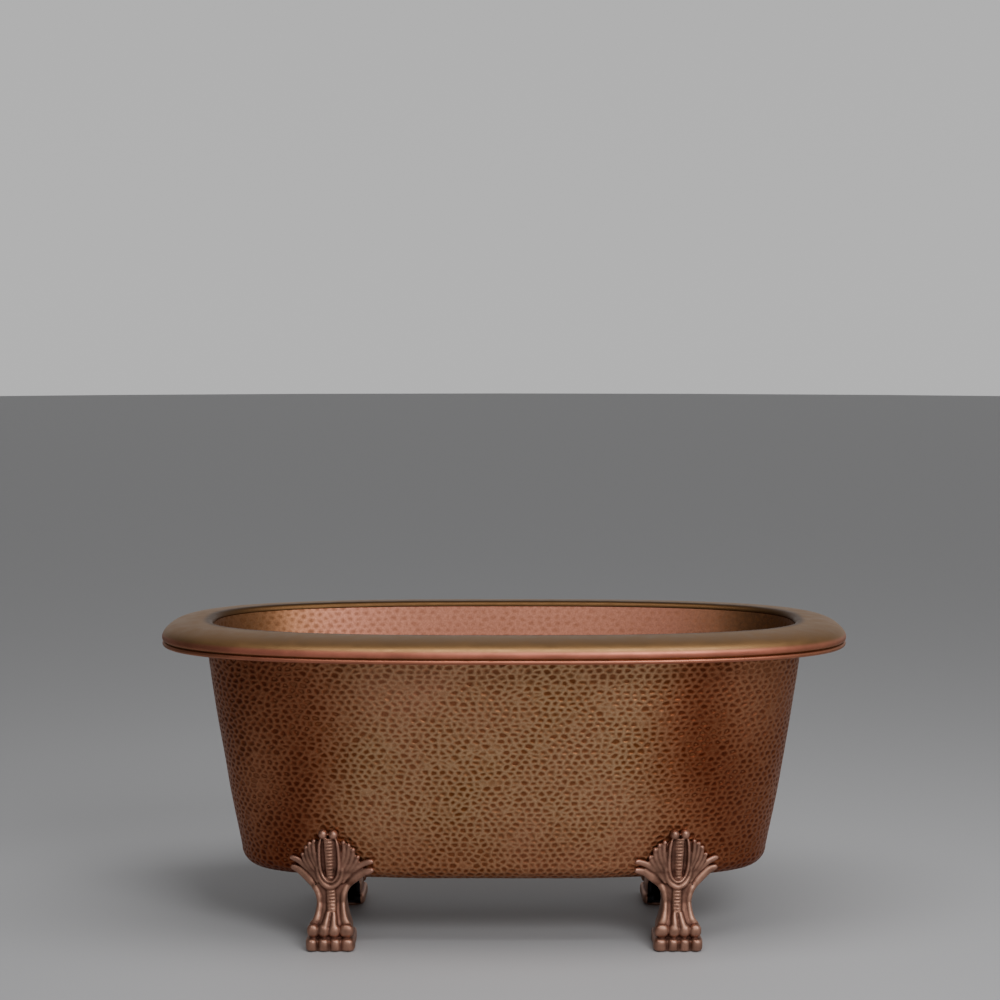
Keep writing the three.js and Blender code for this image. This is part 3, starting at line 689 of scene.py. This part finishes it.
# leg sections: height, half width, front, back, middle
LEG = np.array([
    (3, 47, 243, 130, 1), (24, 47, 243, 130, 1), (30, 46, 241, 132, 1), (46, 45, 243, 136, 0),
    (60, 39.5, 237, 142, -1.5), (80, 34, 225, 148, -2.5), (100, 31.5, 216, 148, -2.5),
    (120, 34.5, 214, 150, -2), (138.5, 39, 214, 152, -1),
])
# backing plate of the leaf crest: height, half width
CREST = np.array([
    (108, 18), (124, 27), (138, 34), (147, 40), (157, 50), (166, 62), (173, 69), (181, 65), (190, 59),
    (199, 52), (208, 47), (217, 41), (226, 33), (234, 25), (241, 18),
])


def power(value, exponent):
    return np.sign(value) * np.abs(value) ** exponent


def leg_section(z):
    """Half width, front, back and middle of the leg at a height."""
    return (np.interp(z, LEG[:, 0], LEG[:, k]) for k in (1, 2, 3, 4))


def skin_depth(x, z):
    """Depth of the tub's outer skin behind a foot: y on |x/a|^n + |y/b|^n = 1 at that height."""
    along = (FOOT_X + x + FOOT_LEAN * z) * MM
    height = z * MM
    k = np.clip((BODY_TOP[2] - height) / (BODY_TOP[2] - BODY_LOW[2]), 0, 1)
    drop = np.clip((BODY_LOW[2] - height) / CORNER_R, 0, 0.97)
    grow = BULGE * np.sin(k * math.pi) - CORNER_R * (1 - np.sqrt(1 - drop ** 2))
    a = BODY_TOP[0] + (BODY_LOW[0] - BODY_TOP[0]) * k + grow
    b = BODY_TOP[1] + (BODY_LOW[1] - BODY_TOP[1]) * k + grow
    return b * (1 - np.abs(along / a) ** BODY_POWER) ** (1 / BODY_POWER) / MM


def front_depth(x, z):
    """Depth of the plain front that the ornament lies on: the leg's superellipse below, the crest's
    backing plate above, 15 mm off the skin in the middle and 8 mm at its edges."""
    half, toe, back, middle = leg_section(z)
    reach = np.clip(np.abs(x - middle) / half, 0, 0.98)
    leg = (toe + back) / 2 + (toe - back) / 2 * (1 - reach ** LEG_POWER) ** (1 / LEG_POWER)
    plate = skin_depth(x, np.maximum(z, CREST_FOOT)) + 8 + 7 * np.exp(-(x / 34) ** 2)
    share = ease(z, 128, 158)
    return leg * (1 - share) + plate * share


def through(points, count):
    """Smooth rows through control rows: Catmull-Rom segments, evenly spaced in their parameter."""
    points = np.asarray(points, float)
    padded = np.concatenate([[2 * points[0] - points[1]], points, [2 * points[-1] - points[-2]]])
    t = np.linspace(0, len(points) - 1 - 1e-9, count)
    i = t.astype(int)
    f = (t - i)[:, None]
    a, b, c, d = (padded[i + k] for k in range(4))
    bend = (2 * a - 5 * b + 4 * c - d) * f ** 2 + (3 * b - a - 3 * c + d) * f ** 3
    return 0.5 * (2 * b + (c - a) * f + bend)


def closed_stack(loops, ends=None):
    """Closed solid through a stack of closed loops, with a fan to each of the two end points, which
    are the middles of the first and the last loop if none are given."""
    rings, around = loops.shape[:2]
    if ends is None:
        ends = loops[[0, -1]].mean(1)
    points = np.concatenate([loops.reshape(-1, 3), ends])
    j = np.arange(around)
    j2 = (j + 1) % around
    last = (rings - 1) * around
    fans = np.concatenate([
        np.stack([np.full(around, rings * around), j, j2], -1),
        np.stack([np.full(around, rings * around + 1), last + j2, last + j], -1),
    ])
    return points, *turn_out(points, grid_quads(rings, around, False, True), fans)


def ridge(path, lift=1.5, height=5.0, count=48, ribs=0.0, tip=0.06, pitch=7.4):
    """A rounded ridge laid over the front: rows of path are x, height and half width. The ellipse's
    wide axis lies across the path in the front, its other axis stands out of it, and both shrink
    to a point over the last part, tip, of each end. ribs swells it once in each pitch of height."""
    x, z, half = through(path, count).T
    centre = np.stack([x, front_depth(x, z) + lift, z], -1)
    run = unit(np.gradient(centre, axis=0))
    out = unit(np.array([0.0, 1.0, 0.0]) - run * run[:, 1:2])
    end = np.minimum(np.arange(count), np.arange(count)[::-1]) / (count - 1)
    taper = np.sqrt(np.clip(end / tip, 0.02, 1))
    swell = 1 + ribs * np.cos((z - z[0]) / pitch * 2 * math.pi)
    side = (np.cross(run, out) * (half * taper)[:, None])[:, None]
    stand = (out * (height * taper * swell)[:, None])[:, None]
    angle = full_turn(16)[None, :, None]
    loops = centre[:, None] + side * np.cos(angle) + stand * np.sin(angle)
    return closed_stack(loops, centre[[0, -1]])


def pebble(centre, half, roundness=2.0, columns=28, rows=15, upright=2.0):
    """Superellipsoid: its plan is |x/a|^n + |y/b|^n = 1 with n = roundness, and its upright section
    has the exponent upright."""
    turn = full_turn(columns)
    climb = np.linspace(-math.pi / 2, math.pi / 2, rows)[1:-1, None]
    flat = power(np.cos(climb), 2 / upright)
    rise = np.broadcast_to(power(np.sin(climb), 2 / upright), (rows - 2, columns))
    plan_x, plan_y = power(np.cos(turn), 2 / roundness), power(np.sin(turn), 2 / roundness)
    loops = np.stack([plan_x * flat, plan_y * flat, rise], -1)
    poles = np.array([[0, 0, -1], [0, 0, 1]])
    return closed_stack(loops * half + centre, poles * half + centre)


def block(layers, middle, half, exponent):
    """Superelliptic block through layers of height and inset; middle and half are x and depth."""
    turn = full_turn(64)
    loops = []
    for z, inset in layers:
        x = middle[0] + (half[0] - inset) * power(np.sin(turn), 2 / exponent)
        depth = middle[1] + (half[1] - inset) * power(np.cos(turn), 2 / exponent)
        loops.append(np.stack([x, depth, np.full_like(x, z)], -1))
    return closed_stack(np.array(loops))


def leg_shell():
    """The leg as a wall of even thickness bent into a C that is open at the back: a superellipse
    of the leg's half width, front and back, from one back corner round the front to the other.
    The C's two ends are closed across the wall, and so are its foot and its head."""
    turn = np.radians(np.linspace(-132, 132, 61))
    loops = []
    for z in np.linspace(LEG[0, 0], LEG[-1, 0], 40):
        half, toe, back, middle = leg_section(z)
        centre, deep = (toe + back) / 2, (toe - back) / 2
        faces = []
        for wall in (0, LEG_WALL):
            x = middle + (half - wall) * power(np.sin(turn), 2 / LEG_POWER)
            depth = centre + (deep - wall * (np.cos(turn) > 0)) * power(np.cos(turn), 2 / LEG_POWER)
            faces.append(np.stack([x, depth, np.full_like(x, z)], -1))
        loops.append(np.concatenate([faces[0], faces[1][::-1]]))
    rings, around = len(loops), len(loops[0])
    i = np.arange(around // 2 - 1)
    low = np.stack([i, i + 1, around - 2 - i, around - 1 - i], -1)
    high = low[:, ::-1] + (rings - 1) * around
    points = np.concatenate(loops)
    return points, *turn_out(points, np.concatenate([grid_quads(rings, around, False, True), low, high]))


def crest_plate():
    """Backing plate of the leaves: it follows the tub's skin, with rounded edges."""
    heights = np.linspace(CREST[0, 0], CREST[-1, 0], 60)
    turn = full_turn(64)
    x = np.interp(heights, CREST[:, 0], CREST[:, 1])[:, None] * np.sin(turn)
    z = np.broadcast_to(heights[:, None], x.shape)
    front = front_depth(x, z)
    back = np.where(z < 150, front - 14, skin_depth(x, z) + 0.6)
    depth = back + (front - back) * (0.5 + 0.5 * power(np.cos(turn), 0.5))
    return closed_stack(np.stack([x, depth, z], -1))


# blocks under the toes and for the bolts: layers of height and inset, middle, half size, exponent
SOLE = (((0, 3), (1, 1.2), (3, 0), (12, 0), (14, 1)), (1.2, 190), (51, 60), 3.6)
LUG = (((126, 1.5), (127.5, 0), (137, 0), (138.5, 1.5)), (0, 138), (36, 42), 8)

# leaves of one side, from the tip down to where each joins the collar: x, height, half width
LEAVES = (
    ((32.5, 237, 4.4), (33.5, 223, 5.1), (32, 205, 5.3), (28.5, 189, 4.7), (25.5, 176, 3.0)),
    ((43.5, 230, 4.4), (42.5, 213, 5.2), (38.5, 197, 5.3), (32, 182, 4.7), (26.5, 168, 3.0)),
    ((52, 220, 4.6), (50.5, 204, 5.5), (45, 188, 5.7), (36, 173, 5.0), (27.5, 157, 3.0)),
    ((61.5, 204, 4.2), (56, 190, 5.5), (46, 175, 5.7), (35, 161, 4.8), (27, 150, 3.0)),
    ((93, 193, 3.6), (84, 192, 6.3), (67, 185, 7.1), (50.5, 172, 6.6), (36.5, 157, 5.4), (26, 141, 3.2)),
)
# the lowest leaf of each side, which runs on down the leg as a tendon to its outer knuckle
OUTER_LEAF = (
    (92, 172, 4.0), (83, 170.5, 7.4), (69, 165, 9.2), (54, 154, 9.8), (41.5, 142, 9.0), (32, 130, 7.6),
    (26, 115, 6.6), (24.5, 100, 6.2), (26, 84, 6.9), (30, 66, 8.6), (36, 54, 10.8), (38.2, 43, 12),
    (38.3, 36, 12),
)
INNER_LEAF = (
    (94, 174, 4.0), (84, 172, 7.4), (69, 166, 9.2), (54, 154, 9.8), (42, 142, 9.0), (33.5, 130, 7.8),
    (28.5, 115, 7.2), (27, 100, 6.9), (27.5, 84, 7.4), (30, 66, 9.2), (33.5, 54, 12), (34.6, 43, 14.5),
    (34.6, 36, 14.5),
)
TENDONS = (
    ((4.5, 83, 5.0), (6.2, 74, 6.3), (11, 56, 7.9), (14.6, 44, 10.2), (14.8, 36, 10.6)),
    ((-7.0, 83, 5.0), (-7.5, 74, 6.3), (-6.8, 56, 8.4), (-7.8, 44, 11.2), (-7.9, 36, 11.4)),
)
# middle and half width of each toe and of each knuckle, from the outer to the inner one
TOES = ((41.0, 13.3), (15.6, 13.0), (-9.8, 13.0), (-36.4, 14.9))
KNUCKLES = ((38.3, 12.5), (14.8, 11.4), (-7.9, 12.4), (-34.6, 15.4))
FRAME = (
    (16.5, 245, 3.4), (20, 230, 3.8), (21.5, 210, 4.0), (21.5, 190, 4.0), (20.3, 174, 3.9),
    (16, 158.5, 3.7), (9, 149, 3.6),
)
COLLAR = ((28, 184, 3.4), (27, 168, 4.8), (23, 152, 5.8), (13, 139.5, 6.2))
# ribbed bars down the middle of the crest and down the leg
CREST_BAR = ((0, 147, 7.8), (0, 175, 8.8), (0, 212, 10.2), (0, 244, 10.4))
LEG_BAR = ((-2.4, 80, 10), (-2.4, 95, 10.2), (-2.2, 112, 10.2), (-1.6, 131, 9.8))
# beads: x, height and radius of the one on each leaf's tip
TIPS = ((32.5, 236, 5.2), (43.5, 229.5, 4.8), (52, 219.5, 5.3), (61.5, 203, 4.7))


def both_sides(half, middle):
    """Path from the left end through the middle to the right end of a symmetric ridge."""
    half = np.array(half, float)
    return np.concatenate([half * [-1, 1, 1], [middle], half[::-1]])


def foot_shells():
    """Every closed shell of one foot, in millimetres."""
    shells = [leg_shell(), crest_plate(), block(*SOLE), block(*LUG)]
    for side in (-1, 1):
        for leaf in LEAVES:
            shells.append(ridge(np.array(leaf) * [side, 1, 1], 1.6, 5.0, 10 * len(leaf), tip=0.04))
        shells.append(pebble((11.5 * side, skin_depth(11.5 * side, 252.5) + 11.5, 252.5), (10.6, 11, 10.8)))
        for x, z, radius in TIPS:
            place = (x * side, front_depth(x * side, z) + 2.6, z)
            shells.append(pebble(place, (radius, radius + 1, radius)))
    for side, leaf in ((1, OUTER_LEAF), (-1, INNER_LEAF)):
        shells.append(ridge(np.array(leaf) * [side, 1, 1], 1.6, 6.2, 130, tip=0.03))
    for tendon in TENDONS:
        shells.append(ridge(tendon, 1.8, 6.6, 60, tip=0.05))
    for x, half in TOES:
        shells.append(pebble((x, 233, 14.2), (half * 1.06, 24, 14.2), 2.6, 44, 25, 4.0))
    for x, half in (TOES[0], TOES[-1]):
        shells.append(pebble((x, 192, 14.2), (half, 62, 14.2), 4.0, 44, 25, 4.0))
    for x, half in KNUCKLES:
        shells.append(pebble((x, 238, 44.0), (half * 1.05, 13.0, 14.6), 2.6, 36, 21, 2.4))
    shells.append(ridge(both_sides(FRAME, (0, 145.5, 3.6)), 3.2, 6.2, 150))
    shells.append(ridge(both_sides(COLLAR, (0, 134, 6.2)), 2.6, 6.2, 110))
    shells.append(ridge(CREST_BAR, 0.8, 4.4, 260, 0.34, 0.012))
    shells.append(ridge(LEG_BAR, 2.2, 4.4, 150, 0.34, 0.02))
    return shells


def fuse(shells, voxel):
    """One skin round overlapping closed shells in millimetres, as points and quads."""
    starts = np.cumsum([0] + [len(points) for points, _, _ in shells])
    points = np.concatenate([points for points, _, _ in shells]) * MM
    quads = np.concatenate([quads + start for (_, quads, _), start in zip(shells, starts)])
    fans = np.concatenate([fans + start for (_, _, fans), start in zip(shells, starts)])
    rough = add_mesh("rough_casting", points, quads, fans)
    remesh = rough.modifiers.new("one_skin", "REMESH")
    remesh.mode = "VOXEL"
    remesh.voxel_size = voxel
    fused = rough.evaluated_get(bpy.context.evaluated_depsgraph_get()).to_mesh()
    co = np.empty(len(fused.vertices) * 3, np.float32)
    fused.vertices.foreach_get("co", co)
    corner = np.empty(len(fused.loops), np.int32)
    fused.loops.foreach_get("vertex_index", corner)
    co, corner = co.reshape(-1, 3).astype(float), corner.reshape(-1, 4)
    mesh = rough.data
    bpy.data.objects.remove(rough)
    bpy.data.meshes.remove(mesh)
    return co, corner


def smoothed(points, quads, rounds, weight):
    """Each point moved towards the mean of its neighbours along the quads' edges, several times."""
    start = quads.ravel()
    finish = np.roll(quads, -1, axis=1).ravel()
    a, b = np.concatenate([start, finish]), np.concatenate([finish, start])
    total = np.bincount(a, minlength=len(points))[:, None]
    for _ in range(rounds):
        mean = np.stack([np.bincount(a, points[b, k], len(points)) for k in range(3)], -1) / total
        points = points + (mean - points) * weight
    return points


def vertex_normals(points, quads):
    """Unit normals at the vertices, from the cross product of each quad's diagonals."""
    a, b, c, d = (points[quads[:, k]] for k in range(4))
    diagonals = np.cross(c - a, d - b)
    corners = quads.ravel()
    total = [np.bincount(corners, np.repeat(diagonals[:, k], 4), len(points)) for k in range(3)]
    return unit(np.stack(total, -1))


def build_feet():
    points, quads = fuse(foot_shells(), VOXEL)
    points = smoothed(points, quads, 3, 0.5)
    broad = smoothed(points, quads, 14, 0.6)
    # relief: how far each point stands proud of the broad shape, which the foot's finish turns into painted
    # shade
    proud = np.einsum("ij,ij->i", points - broad, vertex_normals(points, quads))
    proud = smoothed(proud[:, None] * [1, 1, 1], quads, 2, 0.5)[:, 0]
    relief = np.clip(0.5 + proud / RELIEF_REACH, 0, 1)
    x, depth, z = points.T / MM
    half, toe, back, middle = leg_section(z)
    inside = (np.abs(x - middle) < half - 5) & (depth < toe - 6) & (z > 6) & (z < 139)
    behind = (depth < skin_depth(x, np.maximum(z, CREST_FOOT)) + 1.2) & (z > 139)
    values = {"relief": relief, "back": (inside | behind | (depth < back - 2)).astype(float)}
    x = x - LEAF_SWEEP * x * x * ease(z, 120, 180) + FOOT_LEAN * z
    for side, sy in (("front", -1), ("rear", 1)):
        for end, sx in (("left", -1), ("right", 1)):
            placed = np.stack([sx * (FOOT_X + x), sy * depth, z], -1) * MM
            turned, _ = turn_out(placed, quads)
            foot = add_mesh(f"cast_foot_{side}_{end}", placed, turned, values=values, material=FOOT_COPPER)
            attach(foot, "tub")
            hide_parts(f"claw_foot_{side}_{end}")


build_feet()


# ------------------------------------------------------------------ turned fittings
def rounded(profile, radius, steps=5):
    """A closed profile of radius and height with every corner rounded off: each corner becomes a
    quadratic curve between points at most radius away from it. Points on the axis stay."""
    profile = np.array(profile, float)
    t = np.linspace(0, 1, steps)[:, None]
    loop = []
    for before, corner, after in zip(np.roll(profile, 1, 0), profile, np.roll(profile, -1, 0)):
        if corner[0] == 0:
            loop.append(corner)
            continue
        start, finish = (side * min(0.45, radius / np.linalg.norm(side))
                         for side in (before - corner, after - corner))
        loop.extend(corner + start * (1 - t) ** 2 + finish * t ** 2)
    return np.array(loop)


def turned_fitting(name, replaced, body, profile, radius, origin=(0, 0, 0), tilt=0, flutes=0.0):
    """A turned piece from a profile in millimetres, about an axis that leans from upright towards
    -Y by tilt. flutes is the depth of eight hollows in its widest part."""
    loop = rounded(profile, radius)
    columns = 128
    turn = full_turn(columns)[:, None]
    share = np.clip(loop[:, 0] / loop[:, 0].max(), 0, 1) ** 6
    r = loop[:, 0] - flutes * np.maximum(np.cos(8 * turn), 0) ** 2 * share
    up = np.broadcast_to(loop[:, 1], r.shape)
    x, y = r * np.cos(turn), r * np.sin(turn)
    lean_y = y * math.cos(tilt) - up * math.sin(tilt)
    lean_z = y * math.sin(tilt) + up * math.cos(tilt)
    points = (np.stack([x, lean_y, lean_z], -1) * MM + np.array(origin)).reshape(-1, 3)
    closed = loop[0, 0] > 0
    quads, _ = turn_out(points, grid_quads(columns, len(loop), True, closed))
    piece = add_mesh(name, points, quads, material=FITTING_COPPER)
    weld = piece.modifiers.new("weld", "WELD")
    weld.merge_threshold = 0.000001
    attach(piece, body)
    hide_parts(replaced)


def cross_bars(low, long=20.4, wide=2.0, high=5.0):
    """Cross in the drain's throat: a twelve-cornered outline between two heights, in millimetres."""
    arm = np.array([(long, -wide), (long, wide), (wide, wide)])
    quarter = np.array([[0, -1], [1, 0]])
    outline = np.concatenate([arm @ np.linalg.matrix_power(quarter, k).T for k in range(4)])
    corners = len(outline)
    points = np.concatenate([np.column_stack([outline, np.full(corners, z)]) for z in (low, low + high)])
    j = np.arange(corners)
    j2 = (j + 1) % corners
    sides = np.stack([j, j2, j2 + corners, j + corners], -1)
    bars = add_mesh("drain_cross", points * MM, sides, polygons=[j[::-1], j + corners],
                    material=FITTING_COPPER)
    bars.data.polygons.foreach_set("use_smooth", np.zeros(corners + 2, bool))
    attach(bars, "tub")
    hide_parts("drain_flange")


def build_fittings():
    """Drain flange, plug cap and overflow knob, from the sections of the parts they stand for."""
    foot, top = (corner[2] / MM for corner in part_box("drain_flange"))
    flange = (
        (20, foot), (24, foot), (24, top - 3.2), (33, top - 3.2), (34, top - 2.1), (30, top),
        (21, top - 0.2), (20, top - 2),
    )
    turned_fitting("drain_flange_ring", "drain_flange", "tub", flange, 0.5)
    cross_bars(foot)
    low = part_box("plug_cap")[0][2] / MM
    dome = ((0, low), (29, low), (30.5, low + 1.6), (28, low + 3.6), (18, low + 5.4), (0, low + 6.2))
    turned_fitting("plug_dome", "plug_cap", "plug", dome, 1.2)
    joint = frame["record"]["behaviour"]["joints"][0]
    tilt = math.atan2(-joint["axis"][1], joint["axis"][2])
    grip = ((0, 6), (19, 6), (21, 8), (21, 16), (18, 18.5), (0, 19.5))
    turned_fitting("fluted_knob", "overflow_knob", "knob", grip, 1.4, joint["pos_m"], tilt, flutes=2.2)


build_fittings()


# ------------------------------------------------------------------ finishes of the carried-over parts
FINISHES = {
    "foot_casting": FOOT_COPPER, "blackened_iron": BLACK_IRON, "bolt_steel": ZINC,
    "fitting_copper": FITTING_COPPER, "fitting_brass": PLAIN_BRASS, "seal_rubber": RUBBER,
    "cable_jacket": JACKET,
}
for row in frame["record"]["subparts"]:
    if row["material_slot"] in FINISHES:
        mesh = frame["nodes"][row["node"]].data
        mesh.materials.clear()
        mesh.materials.append(FINISHES[row["material_slot"]])


# ------------------------------------------------------------------ floor, light and camera
FLOOR_R = 30.0
FLOOR_GREY = (0.42, 0.42, 0.43, 1)
# name, place, target, width and height, power
LIGHTS = (
    ("key", (1.6, -3.6, 3.0), (0.1, 0, 0.4), (2.0, 1.4), 90),
    ("top", (0.3, -0.9, 3.2), (0.1, -0.1, 0), (2.6, 1.2), 60),
)
SENSOR = 36.0
FOCAL_RATIO = 2.282
CAMERA_PLACE = (-0.009, -5.099, 1.406)
CAMERA_TILT = math.radians(85.03)


def build_floor():
    angle = full_turn(64)
    points = np.stack([FLOOR_R * np.cos(angle), FLOOR_R * np.sin(angle), np.zeros(64)], -1)
    material, _, shader = nodes_of("pale_floor")
    shader.inputs["Base Color"].default_value = FLOOR_GREY
    shader.inputs["Roughness"].default_value = 0.6
    floor = add_mesh("floor", points, np.zeros((0, 4), int), polygons=[np.arange(64)], material=material)


def area_light(name, place, target, size, power):
    data = bpy.data.lights.new(name, "AREA")
    data.shape = "RECTANGLE"
    data.size, data.size_y = size
    data.energy = power
    lamp = bpy.data.objects.new(name, data)
    bpy.context.scene.collection.objects.link(lamp)
    direction = np.array(target) - np.array(place)
    yaw = math.atan2(direction[0], direction[1])
    pitch = math.atan2(direction[2], math.hypot(direction[0], direction[1]))
    lamp.location = place
    lamp.rotation_euler = (math.pi / 2 + pitch, 0, -yaw)


def build_world():
    """Grey room: light at the horizon, dimmer overhead, and dimmer towards the left side."""
    world = bpy.data.worlds.new("soft_room")
    bpy.context.scene.world = world
    world.use_nodes = True
    tree = world.node_tree
    place = node(tree, "ShaderNodeTexCoord")
    split = node(tree, "ShaderNodeSeparateXYZ")
    tree.links.new(place.outputs["Generated"], split.inputs["Vector"])
    height = grey_ramp(tree, split.outputs["Z"], [(0.0, 0.60), (0.35, 0.54), (0.9, 0.22)])
    left = node(tree, "ShaderNodeMapRange")
    left.inputs["From Min"].default_value = -0.95
    left.inputs["From Max"].default_value = -0.25
    left.inputs["To Min"].default_value = 0.12
    tree.links.new(split.outputs["X"], left.inputs["Value"])
    shade = multiplied(tree, height, left.outputs["Result"])
    tree.links.new(shade, tree.nodes["Background"].inputs["Color"])
    tree.nodes["Background"].inputs["Strength"].default_value = 1.0


def build_camera():
    camera = bpy.data.objects.new("camera", bpy.data.cameras.new("camera"))
    bpy.context.scene.collection.objects.link(camera)
    camera.data.sensor_width = SENSOR
    camera.data.lens = SENSOR * FOCAL_RATIO
    camera.location = CAMERA_PLACE
    camera.rotation_euler = (CAMERA_TILT, 0, 0)
    bpy.context.scene.camera = camera


build_floor()
build_world()
for light in LIGHTS:
    area_light(*light)
build_camera()
